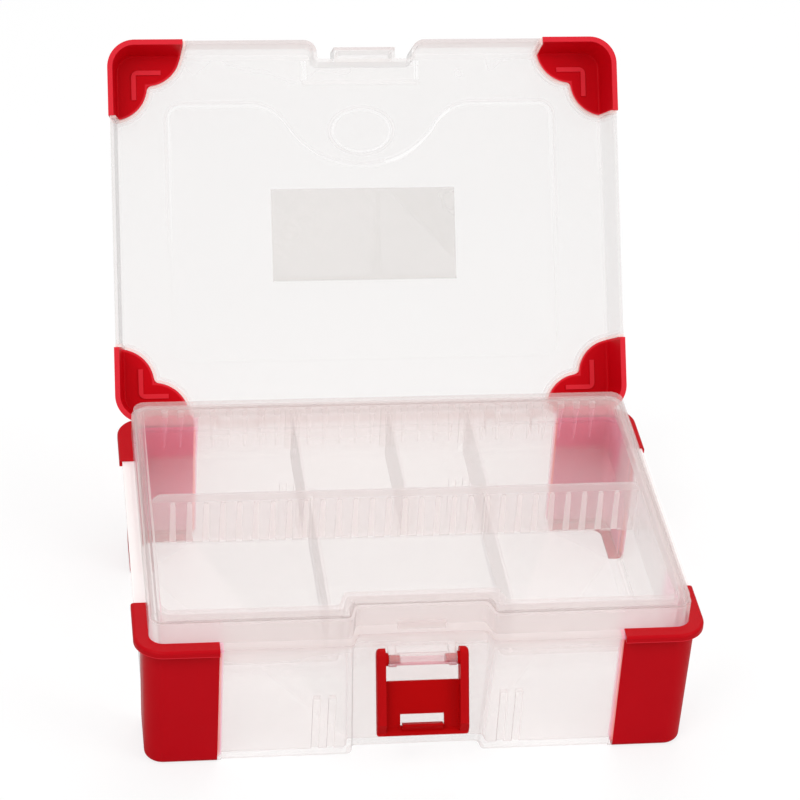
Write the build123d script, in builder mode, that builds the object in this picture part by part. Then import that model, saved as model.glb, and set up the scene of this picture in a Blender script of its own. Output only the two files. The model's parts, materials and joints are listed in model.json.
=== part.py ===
from build123d import *
import os

os.makedirs("parts", exist_ok=True)

# Overall sizes, measured over the corner caps
box_width = 225.0
box_depth = 166.5
rim_height = 58.5
lid_height = 20.0
corner_radius = 12.0
least_radius = 5.0
corner_reach = 33.0

# Clear base
wall_inset = 4.2
wall_draft = 1.1
wall_thickness = 2.0
floor_thickness = 1.8
foot_round = 2.4
flange_inset = 1.2
flange_bottom = 56.7
flange_top = 57.9
flange_blend = 2.2
strip_width = 1.6

# Recess in the front wall, where the latch hangs
recess_half_top = 27.0
recess_half_foot = 25.0
recess_face = -72.7
recess_flare = 1.0
recess_round = 1.6
flange_notch_face = -74.6
flange_notch_half = 25.3
flange_notch_flare = 2.7

# Upstand that carries the tray
upstand_inset = 6.0
upstand_thickness = 1.5
upstand_top = 66.6
upstand_step = 0.7
notch_depth = 8.25
notch_half = 25.5
notch_flare = 2.5
notch_round = 2.5

# Slot ribs inside the lower bin and the locating pad on the front ledge
bin_slot_x = 37.3
bin_slot_gap = 3.2
bin_rib_width = 3.0
bin_rib_depth = 2.2
bin_rib_top = 28.0
pad_width = 19.0
pad_thickness = 1.5
pad_face = -72.3
pad_bottom = 55.5
pad_top = 61.0

# Base corner caps
cap_inset = 3.4
cap_wall = 1.5
cap_lip_bottom = 55.6
cap_lip_round = 1.2
cap_foot_turn = 6.0
cap_foot_thickness = 1.0
bond_gap = 0.05

# Hinge at the back
hinge_y = 83.75
hinge_z = 55.0
hinge_x = 60.0
knuckle_radius = 2.9
lid_knuckle_length = 16.0
lug_width = 3.5
hinge_gap = 0.4
hinge_pin_radius = 1.5
hinge_pin_length = 3.4
pin_clearance = 0.08
lug_foot = 46.5
open_angle = 125.0

# Latch pivot and its barrel on the base
pivot_y = -78.0
pivot_z = 47.7
barrel_radius = 3.0
barrel_core_radius = 2.5
barrel_half = 13.4
barrel_end = 3.0
barrel_web = 2.0
latch_pin_radius = 1.75
latch_pin_reach = 4.2
latch_pin_clearance = 0.07

# Latch plate, measured from the pivot with the latch shut
latch_width = 36.4
latch_strip = 3.55
latch_head = 4.3
latch_opening_end = 9.2
latch_length = 30.6
latch_plate_inner = 2.2
latch_plate_thickness = 1.6
latch_strip_height = 2.5
latch_boss_radius = 2.6
latch_boss_height = 0.95
latch_head_round = 1.6
latch_foot_round = 1.0
window_width = 17.4
window_start = 22.3
window_end = 27.0
hook_width = 16.0
hook_start = 25.8
hook_end = 27.7
hook_reach = 0.8
lip_rise = 1.5
latch_angle = 153.0

# Clear lid, measured with the lid shut
lid_inset = 0.7
lid_draft = 2.3
lid_wall = 1.5
lid_panel_top = 78.0
lid_panel = 1.5
lid_edge_round = 2.0
lid_notch_face = -74.2
lid_notch_half = 20.8
lid_notch_flare = 0.3
lid_notch_mouth_round = 5.8
lid_notch_inner_round = 1.5
catch_width = 27.0
catch_front = -79.2
catch_top = 73.3
catch_wall = 1.5
shelf_half = 25.0
shelf_back = -66.2
shelf_step = 1.0

# Raised field and oval on the lid panel
field_half_width = 86.0
field_half_depth = 57.0
field_round = 6.0
field_rise = 0.5
field_step_wall = 0.9
dip_half_width = 50.0
dip_back = -29.5
dip_turn_share = 0.66
oval_centre = -45.0
oval_half_width = 13.8
oval_half_depth = 10.0

# Lid corner caps, with a scalloped edge on the panel
scallop_radius = 15.5
scallop_near = 2.5
cusp_round = 2.5
bead_width = 1.4
bead_height = 1.0
angle_rib_offset = 11.0
angle_rib_arm = 13.0
angle_rib_width = 2.0
angle_rib_height = 0.8
angle_rib_round = 3.0

# Blank label on the outside of the lid
label_width = 82.0
label_depth = 41.0
label_thickness = 0.2
label_y = 1.0

# Lift-out tray
tray_rim_inset = 6.8
tray_rim_top = 70.8
tray_rim_plate = 1.3
tray_lip_width = 1.4
tray_body_inset = 9.6
tray_draft = 1.2
tray_wall = 1.3
tray_bottom = 43.5
tray_floor = 44.8

# Fixed walls of the tray
mid_wall_y = 8.0
mid_wall_top = 69.3
mid_wall_round = 4.0
front_wall_x = 36.0
front_wall_top = 67.0

# Divider ribs on the mid wall and the back wall
rib_count = 28
rib_pitch = 6.85
rib_foot_width = 2.7
rib_top_width = 2.0
rib_top = 64.3
rib_height = 1.2
back_rib_top = 69.0
back_rib_tip = 51.0
back_rib_tip_width = 0.6
back_rib_face = 70.6

# Loose dividers, each clipped over a rib at both ends
divider_slots = (8, 14, 19)
divider_thickness = 1.2
divider_top = 68.8
divider_clearance = 0.3
clip_width = 8.6
clip_depth = 2.1
clip_bottom = 50.0
clip_round = 1.5
stem_width = 4.8
back_clip_width = 6.4

hinge_axis = Axis((0, hinge_y, hinge_z), (1, 0, 0))
pivot_axis = Axis((0, pivot_y, pivot_z), (1, 0, 0))
flange_height = flange_top - flange_bottom
raised_top = upstand_top + upstand_step
tray_height = tray_rim_top - tray_bottom


# Outlines of the box

def corner_of(inset):
    """Corner radius of an outline set in from the cap lips."""
    return max(corner_radius - inset, least_radius)


def plan(inset, height):
    """Rounded outline of the box at one height."""
    with BuildSketch(Plane.XY.offset(height)) as outline:
        RectangleRounded(box_width - 2 * inset, box_depth - 2 * inset, corner_of(inset))
    return outline.sketch


def notched_plan(inset, height, face, half, flare, mouth_round, inner_round):
    """Outline of the box with a front notch, its corners rounded at the mouth and inside."""
    depth = face + box_depth / 2 - inset
    mouth = face - 2 * depth
    with BuildSketch(Plane.XY.offset(height)) as outline:
        RectangleRounded(box_width - 2 * inset, box_depth - 2 * inset, corner_of(inset))
        Polygon(
            (-half, face),
            (half, face),
            (half + 2 * flare, mouth),
            (-half - 2 * flare, mouth),
            align=None,
            mode=Mode.SUBTRACT,
        )
        notch_corners = outline.vertices().filter_by(lambda v: abs(v.X) < half + flare + 0.1)
        fillet(notch_corners.group_by(Axis.Y)[0], radius=mouth_round)
        inner_corners = outline.vertices().filter_by(lambda v: abs(v.X) < half + 0.1 and v.Y < 0)
        fillet(inner_corners.group_by(Axis.Y)[-1], radius=inner_round)
    return outline.sketch


def rim_plan(inset, height):
    """Outline shared by the upstand and the tray, whose notch keeps its depth."""
    face = inset + notch_depth - box_depth / 2
    half = notch_half + inset - upstand_inset
    return notched_plan(inset, height, face, half, notch_flare, notch_round, notch_round)


def wall_plan(inset, height, shift, half):
    """Outline of the base wall with the latch recess, set in by a wall shift."""
    face = recess_face + shift
    return notched_plan(inset, height, face, half + shift, recess_flare, recess_round, recess_round)


def lid_plan(inset, height, shift):
    """Outline of the lid wall, its notch set in by a wall shift."""
    face = lid_notch_face + shift
    half = lid_notch_half + shift
    mouth_round = lid_notch_mouth_round + lid_inset - inset
    inner_round = lid_notch_inner_round + shift
    return notched_plan(inset, height, face, half, lid_notch_flare, mouth_round, inner_round)


def corner_blocks(reach, bottom, top):
    """Square blocks over the four corners, measured in from the cap lips."""
    with BuildPart() as blocks:
        with BuildSketch(Plane.XY.offset(bottom)):
            with GridLocations(box_width, box_depth, 2, 2):
                Rectangle(2 * reach, 2 * reach)
        extrude(amount=top - bottom)
    return blocks.part


def one_corner(reach, bottom, top):
    """The block over the front left corner alone."""
    with BuildPart() as block:
        with BuildSketch(Plane.XY.offset(bottom)):
            with Locations((-box_width / 2, -box_depth / 2)):
                Rectangle(2 * reach, 2 * reach)
        extrude(amount=top - bottom)
    return block.part


# Lower bin

def skirt_inset(inset, height):
    """Inset of a drafted base face at one height, from its inset under the flange."""
    return inset + wall_draft * (1 - height / flange_bottom)


with BuildPart() as wall_seat:
    # Room for the cap walls, cut out of the clear wall
    add(corner_blocks(corner_reach + bond_gap, -1, flange_bottom))
    seat_inset = cap_inset + cap_wall + bond_gap
    loft([plan(skirt_inset(seat_inset, 0), 0), plan(seat_inset, flange_bottom)], mode=Mode.SUBTRACT)

with BuildPart() as foot_seat:
    # Room for the turned-in feet of the caps
    add(corner_blocks(corner_reach + bond_gap, -1, cap_foot_thickness + bond_gap))
    foot_inset = skirt_inset(cap_inset, 0) + cap_foot_turn + bond_gap
    extrude(plan(foot_inset, -1), amount=2 + cap_foot_thickness, mode=Mode.SUBTRACT)

with BuildPart() as cap_lands:
    # Strips of clear wall beside the caps, flush with the cap faces
    loft([plan(skirt_inset(cap_inset, 0), 0), plan(cap_inset, flange_bottom)])
    fillet(cap_lands.faces().sort_by(Axis.Z)[0].edges(), radius=foot_round)
    add(corner_blocks(corner_reach + strip_width, 0, flange_bottom), mode=Mode.INTERSECT)

with BuildPart() as bin_hollow:
    # Inside of the bin, narrowing under the flange to meet the upstand
    inner_inset = wall_inset + wall_thickness
    blend_bottom = flange_bottom - flange_blend
    low_half = recess_half_foot
    top_half = recess_half_top
    loft(
        [
            wall_plan(skirt_inset(inner_inset, floor_thickness), floor_thickness, wall_thickness, low_half),
            wall_plan(skirt_inset(inner_inset, blend_bottom), blend_bottom, wall_thickness, top_half),
        ]
    )
    fillet(bin_hollow.faces().sort_by(Axis.Z)[0].edges(), radius=foot_round)
    upstand_inner = upstand_inset + upstand_thickness
    loft(
        [
            wall_plan(skirt_inset(inner_inset, blend_bottom), blend_bottom, wall_thickness, top_half),
            rim_plan(upstand_inner, flange_bottom),
        ]
    )
    extrude(rim_plan(upstand_inner, flange_bottom), amount=raised_top + 1 - flange_bottom)

with BuildPart() as raised_ends:
    # The upstand stands a little higher along the four corners
    extrude(rim_plan(upstand_inset, upstand_top), amount=upstand_step)
    add(corner_blocks(corner_reach, upstand_top, raised_top), mode=Mode.INTERSECT)

with BuildPart() as base_bin:
    loft(
        [
            wall_plan(skirt_inset(wall_inset, 0), 0, 0, recess_half_foot),
            wall_plan(wall_inset, flange_bottom, 0, recess_half_top),
        ]
    )
    fillet(base_bin.faces().sort_by(Axis.Z)[0].edges(), radius=foot_round)
    add(cap_lands.part)
    flange = notched_plan(
        flange_inset,
        flange_bottom,
        flange_notch_face,
        flange_notch_half,
        flange_notch_flare,
        notch_round,
        notch_round,
    )
    extrude(flange, amount=flange_height)
    extrude(rim_plan(upstand_inset, flange_top), amount=upstand_top - flange_top)
    add(raised_ends.part)
    add(bin_hollow.part, mode=Mode.SUBTRACT)
    add(wall_seat.part, mode=Mode.SUBTRACT)
    add(foot_seat.part, mode=Mode.SUBTRACT)

    # Rib pairs that hold a bin divider, front and back
    rib_step = bin_slot_gap + bin_rib_width
    rib_face = box_depth / 2 - skirt_inset(inner_inset, floor_thickness)
    with BuildSketch(Plane.XY.offset(floor_thickness)):
        with Locations(
            (bin_slot_x - rib_step / 2, 0),
            (bin_slot_x + rib_step / 2, 0),
            (-bin_slot_x - rib_step / 2, 0),
            (-bin_slot_x + rib_step / 2, 0),
        ):
            Rectangle(bin_rib_width, 2 * rib_face + wall_thickness)
            Rectangle(bin_rib_width + 1, 2 * (rib_face - bin_rib_depth), mode=Mode.SUBTRACT)
    extrude(amount=bin_rib_top - floor_thickness)

    # Locating pad on the ledge in front
    with BuildSketch(Plane.XY.offset(pad_bottom)):
        with Locations((0, pad_face)):
            Rectangle(pad_width, pad_thickness, align=(Align.CENTER, Align.MIN))
    extrude(amount=pad_top - pad_bottom)

    # Latch barrel on its web, with two deeper cheeks at the ends
    with BuildSketch(Plane.YZ.offset(-barrel_half)):
        with Locations((pivot_y, pivot_z)):
            Circle(barrel_core_radius)
            Rectangle(recess_face - pivot_y + 1, barrel_web, align=(Align.MIN, Align.CENTER))
    extrude(amount=2 * barrel_half)
    with BuildSketch(Plane.YZ.offset(-barrel_half), Plane.YZ.offset(barrel_half - barrel_end)):
        with Locations((pivot_y, pivot_z)):
            Circle(barrel_radius)
        with Locations((recess_face + 0.5, pivot_z)):
            Rectangle(0.4, 2.6 * barrel_radius)
        make_hull()
    extrude(amount=barrel_end)
    with BuildSketch(Plane.YZ.offset(-barrel_half), Plane.YZ.offset(barrel_half - latch_pin_reach - 0.4)):
        with Locations((pivot_y, pivot_z)):
            Circle(latch_pin_radius + latch_pin_clearance)
    extrude(amount=latch_pin_reach + 0.4, mode=Mode.SUBTRACT)

    # Hinge lugs behind, and the gap in the flange for each lid knuckle
    lug_start = lid_knuckle_length / 2 + hinge_gap
    lug_planes = [
        Plane.YZ.offset(side * hinge_x + start)
        for side in (-1, 1)
        for start in (lug_start, -lug_start - lug_width)
    ]
    lug_root = box_depth / 2 - skirt_inset(wall_inset, lug_foot) - 0.5
    with BuildSketch(*lug_planes):
        with Locations((hinge_y, hinge_z)):
            Circle(knuckle_radius)
        with Locations((lug_root, lug_foot)):
            Rectangle(0.4, flange_bottom - lug_foot, align=(Align.CENTER, Align.MIN))
        make_hull()
    extrude(amount=lug_width)
    with BuildSketch(*lug_planes):
        with Locations((hinge_y, hinge_z)):
            Circle(hinge_pin_radius + pin_clearance)
    extrude(amount=lug_width, mode=Mode.SUBTRACT)
    with BuildSketch(Plane.XY.offset(flange_bottom - 0.5)):
        with Locations((0, hinge_y - knuckle_radius - hinge_gap)):
            with GridLocations(2 * hinge_x, 0, 2, 1):
                Rectangle(lid_knuckle_length + 2 * hinge_gap, 6, align=(Align.CENTER, Align.MIN))
    extrude(amount=flange_height + 1, mode=Mode.SUBTRACT)

base_bin.part.label = "base_bin"
export_step(base_bin.part, "parts/base_bin.step")


# Corner caps of the base

with BuildPart() as base_corner_front_left:
    loft([plan(skirt_inset(cap_inset, 0), 0), plan(cap_inset, cap_lip_bottom)])
    fillet(base_corner_front_left.faces().sort_by(Axis.Z)[0].edges(), radius=foot_round)
    extrude(plan(0, cap_lip_bottom), amount=rim_height - cap_lip_bottom)
    fillet(base_corner_front_left.faces().sort_by(Axis.Z)[-1].edges(), radius=cap_lip_round)
    # Hollow for the clear wall
    cap_inner = cap_inset + cap_wall
    wall_room = [
        plan(skirt_inset(cap_inner, cap_foot_thickness), cap_foot_thickness),
        plan(cap_inner, flange_bottom - bond_gap),
    ]
    loft(wall_room, mode=Mode.SUBTRACT)
    # Groove for the flange, then the opening round the upstand
    groove = plan(flange_inset - bond_gap, flange_bottom - bond_gap)
    extrude(groove, amount=flange_height + 2 * bond_gap, mode=Mode.SUBTRACT)
    extrude(plan(upstand_inset - bond_gap, flange_top), amount=5, mode=Mode.SUBTRACT)
    # The foot turns in under the wall and stops short
    foot_hole = plan(skirt_inset(cap_inset, 0) + cap_foot_turn, -1)
    extrude(foot_hole, amount=2 + cap_foot_thickness, mode=Mode.SUBTRACT)
    add(one_corner(corner_reach, -1, rim_height + 1), mode=Mode.INTERSECT)
base_corner_front_left.part.label = "base_corner_front_left"
export_step(base_corner_front_left.part, "parts/base_corner_front_left.step")

with BuildPart() as base_corner_front_right:
    mirror(base_corner_front_left.part, about=Plane.YZ)
base_corner_front_right.part.label = "base_corner_front_right"
export_step(base_corner_front_right.part, "parts/base_corner_front_right.step")

with BuildPart() as base_corner_rear_left:
    mirror(base_corner_front_left.part, about=Plane.XZ)
base_corner_rear_left.part.label = "base_corner_rear_left"
export_step(base_corner_rear_left.part, "parts/base_corner_rear_left.step")

with BuildPart() as base_corner_rear_right:
    mirror(base_corner_rear_left.part, about=Plane.YZ)
base_corner_rear_right.part.label = "base_corner_rear_right"
export_step(base_corner_rear_right.part, "parts/base_corner_rear_right.step")


# Lid, modelled shut and then swung open about the hinge

lid_top = rim_height + lid_height
panel_under = lid_panel_top - lid_panel


def on_all_corners(shape):
    """Copies of a front left shape on all four corners."""
    with BuildPart() as copies:
        add(shape)
        mirror(about=Plane.YZ)
        mirror(about=Plane.XZ)
    return copies.part


def scallop(grow):
    """Block over the front left corner of the lid, its inner edge two arcs and a cusp."""
    reach = corner_reach + grow
    near = scallop_near + grow
    arc = scallop_radius + grow
    far = corner_reach - scallop_radius
    with BuildPart() as block:
        with BuildSketch(Plane.XY.offset(rim_height - 1)) as outline:
            with Locations((-box_width / 2, -box_depth / 2)):
                Rectangle(far, far, align=(Align.MIN, Align.MIN))
                with Locations((far, scallop_near), (scallop_near, far)):
                    Circle(arc)
                with Locations((-1, -1)):
                    Rectangle(reach + 1, near + 1 - grow, align=(Align.MIN, Align.MIN))
                    Rectangle(near + 1 - grow, reach + 1, align=(Align.MIN, Align.MIN))
            inner = outline.vertices().filter_by(
                lambda v: abs(v.X + box_width / 2 - v.Y - box_depth / 2) < 0.01 and v.X + box_width / 2 > far
            )
            fillet(inner, radius=cusp_round)
        extrude(amount=lid_height + 2)
    return block.part


def field_plan(height, shrink):
    """The raised field of the panel, dipping back round the oval at the front."""
    with BuildSketch(Plane.XY.offset(height)) as outline:
        with BuildLine():
            turn_y = dip_back - dip_turn_share * (field_half_depth + dip_back)
            turn = (dip_turn_share * dip_half_width, turn_y)
            dip = TangentArc((0, dip_back), turn, tangent=(1, 0))
            TangentArc(dip @ 1, (dip_half_width, -field_half_depth), tangent=dip % 1)
            Polyline(
                (dip_half_width, -field_half_depth),
                (field_half_width, -field_half_depth),
                (field_half_width, field_half_depth),
                (0, field_half_depth),
            )
            mirror(about=Plane.YZ)
        make_face()
        corners = outline.vertices().filter_by(lambda v: abs(v.X) > field_half_width - 0.1)
        fillet(corners, radius=field_round)
        if shrink > 0:
            offset(amount=-shrink)
    return outline.sketch


def oval_plan(height, shrink):
    """The raised oval between the field and the latch notch."""
    with BuildSketch(Plane.XY.offset(height)) as outline:
        with Locations((0, oval_centre)):
            Ellipse(oval_half_width - shrink, oval_half_depth - shrink)
    return outline.sketch


def lid_cavity(inset):
    """Inside of the plain lid walls, without the notch."""
    with BuildPart() as cavity:
        top = panel_under + lid_inset + lid_wall - inset
        loft([plan(inset, rim_height), plan(inset + lid_draft, top)])
        fillet(cavity.faces().sort_by(Axis.Z)[-1].edges(), radius=1.0)
    return cavity.part


with BuildPart() as lid_hollow:
    # Inside of the lid, with the wall of the notch standing in it
    shell_inner = lid_inset + lid_wall
    hollow_mouth = lid_plan(shell_inner, rim_height, lid_wall)
    loft([hollow_mouth, lid_plan(shell_inner + lid_draft, panel_under, lid_wall)])
    fillet(lid_hollow.faces().sort_by(Axis.Z)[-1].edges(), radius=1.0)

with BuildPart() as corner_bead:
    # Raised bead that follows the scalloped edge inside the lid, rooted in its walls
    add(lid_cavity(shell_inner - lid_wall / 4))
    add(lid_cavity(shell_inner + bead_height), mode=Mode.SUBTRACT)
    add(scallop(bead_width), mode=Mode.INTERSECT)

with BuildPart() as lid_shell:
    loft([lid_plan(lid_inset, rim_height, 0), lid_plan(lid_inset + lid_draft, lid_panel_top, 0)])
    fillet(lid_shell.faces().sort_by(Axis.Z)[-1].edges(), radius=lid_edge_round)
    extrude(field_plan(panel_under + field_rise, 0), amount=lid_panel)
    extrude(oval_plan(panel_under + field_rise, 0), amount=lid_panel)
    add(lid_hollow.part, mode=Mode.SUBTRACT)
    extrude(field_plan(panel_under - 0.2, field_step_wall), amount=field_rise + 0.2, mode=Mode.SUBTRACT)
    extrude(oval_plan(panel_under - 0.2, field_step_wall), amount=field_rise + 0.2, mode=Mode.SUBTRACT)

    # Stepped shelf behind the notch
    shelf_depth = shelf_back - lid_notch_face
    with BuildSketch(Plane.XY.offset(panel_under - shelf_step)):
        with Locations((0, lid_notch_face + 0.5)):
            Rectangle(2 * shelf_half + 2, shelf_depth + 0.5, align=(Align.CENTER, Align.MIN))
    extrude(amount=lid_panel)
    with BuildSketch(Plane.XY.offset(lid_panel_top - shelf_step)):
        with Locations((0, lid_notch_face - 3)):
            Rectangle(2 * shelf_half, shelf_depth + 3, align=(Align.CENTER, Align.MIN))
    extrude(amount=shelf_step + 1, mode=Mode.SUBTRACT)

    # Hollow catch block in the notch
    with BuildSketch(Plane.XY.offset(rim_height)):
        with Locations((0, lid_notch_face + 0.4)):
            Rectangle(catch_width, lid_notch_face + 0.4 - catch_front, align=(Align.CENTER, Align.MAX))
    extrude(amount=catch_top - rim_height)
    with BuildSketch(Plane.XY.offset(rim_height)):
        with Locations((0, lid_notch_face)):
            Rectangle(
                catch_width - 2 * catch_wall,
                lid_notch_face - catch_front - catch_wall,
                align=(Align.CENTER, Align.MAX),
            )
    extrude(amount=catch_top - rim_height - catch_wall, mode=Mode.SUBTRACT)

    # Scalloped corners are left open for the caps, with a bead along each edge
    add(on_all_corners(corner_bead.part))
    add(on_all_corners(scallop(0)), mode=Mode.SUBTRACT)

    # Hinge knuckles with stub pins
    knuckle_planes = [Plane.YZ.offset(side * hinge_x - lid_knuckle_length / 2) for side in (-1, 1)]
    knuckle_root = box_depth / 2 - lid_inset - lid_wall / 2 - 0.4
    with BuildSketch(*knuckle_planes):
        with Locations((hinge_y, hinge_z)):
            Circle(knuckle_radius)
        with Locations((knuckle_root, rim_height + 2)):
            Rectangle(0.6, 5, align=(Align.CENTER, Align.MIN))
        make_hull()
    extrude(amount=lid_knuckle_length)
    pin_planes = [
        Plane.YZ.offset(side * hinge_x - lid_knuckle_length / 2 - hinge_pin_length) for side in (-1, 1)
    ]
    with BuildSketch(*pin_planes):
        with Locations((hinge_y, hinge_z)):
            Circle(hinge_pin_radius)
    extrude(amount=lid_knuckle_length + 2 * hinge_pin_length)

lid_shell.part = lid_shell.part.rotate(hinge_axis, -open_angle)
lid_shell.part.label = "lid_shell"
export_step(lid_shell.part, "parts/lid_shell.step")


# Corner caps of the lid

with BuildPart() as shut_corner:
    loft([plan(0, rim_height), plan(lid_draft, lid_top)])
    fillet(shut_corner.faces().sort_by(Axis.Z)[-1].edges(), radius=lid_edge_round)
    add(lid_cavity(shell_inner), mode=Mode.SUBTRACT)
    add(scallop(-bond_gap), mode=Mode.INTERSECT)
    # Angle rib inside, pointing at the corner
    rib_origin = (angle_rib_offset - box_width / 2, angle_rib_offset - box_depth / 2)
    with BuildSketch(Plane.XY.offset(panel_under - angle_rib_height)) as angle_rib:
        with Locations(rib_origin):
            Rectangle(angle_rib_arm, angle_rib_arm, align=(Align.MIN, Align.MIN))
            fillet(angle_rib.vertices().sort_by(Axis((0, 0, 0), (1, 1, 0)))[0], radius=angle_rib_round)
            with Locations((angle_rib_width, angle_rib_width)):
                Rectangle(angle_rib_arm, angle_rib_arm, align=(Align.MIN, Align.MIN), mode=Mode.SUBTRACT)
    extrude(amount=angle_rib_height + 0.2)

with BuildPart() as lid_corner_front_left:
    add(shut_corner.part)
lid_corner_front_left.part = lid_corner_front_left.part.rotate(hinge_axis, -open_angle)
lid_corner_front_left.part.label = "lid_corner_front_left"
export_step(lid_corner_front_left.part, "parts/lid_corner_front_left.step")

with BuildPart() as lid_corner_front_right:
    mirror(lid_corner_front_left.part, about=Plane.YZ)
lid_corner_front_right.part.label = "lid_corner_front_right"
export_step(lid_corner_front_right.part, "parts/lid_corner_front_right.step")

with BuildPart() as lid_corner_rear_left:
    mirror(shut_corner.part, about=Plane.XZ)
lid_corner_rear_left.part = lid_corner_rear_left.part.rotate(hinge_axis, -open_angle)
lid_corner_rear_left.part.label = "lid_corner_rear_left"
export_step(lid_corner_rear_left.part, "parts/lid_corner_rear_left.step")

with BuildPart() as lid_corner_rear_right:
    mirror(lid_corner_rear_left.part, about=Plane.YZ)
lid_corner_rear_right.part.label = "lid_corner_rear_right"
export_step(lid_corner_rear_right.part, "parts/lid_corner_rear_right.step")


# Blank label on the outside of the lid

with BuildPart() as blank_label:
    with BuildSketch(Plane.XY.offset(lid_panel_top + field_rise)):
        with Locations((0, label_y)):
            Rectangle(label_width, label_depth)
    extrude(amount=label_thickness)
blank_label.part = blank_label.part.rotate(hinge_axis, -open_angle)
blank_label.part.label = "blank_label"
export_step(blank_label.part, "parts/blank_label.step")


# Latch, modelled shut and then hung open about its pivot

plate_outer = pivot_y - latch_plate_inner - latch_plate_thickness
plate_inner = pivot_y - latch_plate_inner
strip_inner = pivot_y + latch_strip_height
lip_top = plate_inner + lip_rise
pocket_half = latch_width / 2 - latch_strip


def above(distance):
    """Height of a point on the shut latch, from its distance to the pivot."""
    return pivot_z + distance


with BuildPart() as latch:
    # Outer form with rounded heads and rounded corners
    with BuildSketch(Plane.YZ.offset(-latch_width / 2)) as side_view:
        Polygon(
            (plate_outer, above(-latch_head)),
            (plate_outer, above(latch_length)),
            (lip_top, above(latch_length)),
            (lip_top, above(hook_end + lip_rise + 0.4)),
            (strip_inner, above(hook_start)),
            (strip_inner, above(-latch_head)),
            align=None,
        )
        fillet(side_view.vertices().group_by(Axis.Y)[0], radius=3.0)
    extrude(amount=latch_width)
    fillet(latch.edges().filter_by(Axis.Y).group_by(Axis.Z)[-1], radius=latch_foot_round)
    fillet(latch.edges().filter_by(Axis.Y).group_by(Axis.Z)[0], radius=latch_head_round)
    # Pocket between the side strips, ending in the sloped lip
    with BuildSketch(Plane.YZ.offset(-pocket_half)):
        Polygon(
            (plate_inner, above(-latch_head - 2)),
            (plate_inner, above(hook_end)),
            (lip_top, above(hook_end + lip_rise)),
            (lip_top, above(latch_length + 1)),
            (strip_inner + 1, above(latch_length + 1)),
            (strip_inner + 1, above(-latch_head - 2)),
            align=None,
        )
    extrude(amount=2 * pocket_half, mode=Mode.SUBTRACT)
    # Opening round the barrel and the window under the hook
    with BuildSketch(Plane.XZ.offset(-strip_inner - 1)):
        with Locations((0, above(-latch_head - 2))):
            Rectangle(2 * pocket_half, latch_opening_end + latch_head + 2, align=(Align.CENTER, Align.MIN))
        with Locations((0, above(window_start))):
            Rectangle(window_width, window_end - window_start, align=(Align.CENTER, Align.MIN))
    extrude(amount=strip_inner - plate_outer + 2, mode=Mode.SUBTRACT)
    # Hook ridge across the end of the window
    with BuildSketch(Plane.YZ.offset(-hook_width / 2)):
        Polygon(
            (plate_inner - 0.6, above(hook_start)),
            (pivot_y + hook_reach, above(hook_start)),
            (pivot_y + hook_reach, above(hook_start + 0.8)),
            (plate_inner + 1, above(hook_end + 1.1)),
            (plate_inner - 0.6, above(hook_end + 1.1)),
            align=None,
        )
    extrude(amount=hook_width)
    # Bosses and pins that turn in the barrel
    with BuildSketch(Plane.YZ.offset(-pocket_half), Plane.YZ.offset(pocket_half - latch_boss_height)):
        with Locations((pivot_y, pivot_z)):
            Circle(latch_boss_radius)
    extrude(amount=latch_boss_height)
    pin_start = barrel_half - latch_pin_reach
    with BuildSketch(Plane.YZ.offset(-pocket_half - 1), Plane.YZ.offset(pin_start)):
        with Locations((pivot_y, pivot_z)):
            Circle(latch_pin_radius)
    extrude(amount=pocket_half + 1 - pin_start)
latch.part = latch.part.rotate(pivot_axis, latch_angle)
latch.part.label = "latch"
export_step(latch.part, "parts/latch.step")


# Tray

tray_lip_bottom = raised_top
rim_under = tray_rim_top - tray_rim_plate
tray_inner = tray_body_inset + tray_wall


def tray_inset(inset, height):
    """Inset of a drafted tray face at one height."""
    return inset + tray_draft * (tray_rim_top - height) / tray_height


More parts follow.
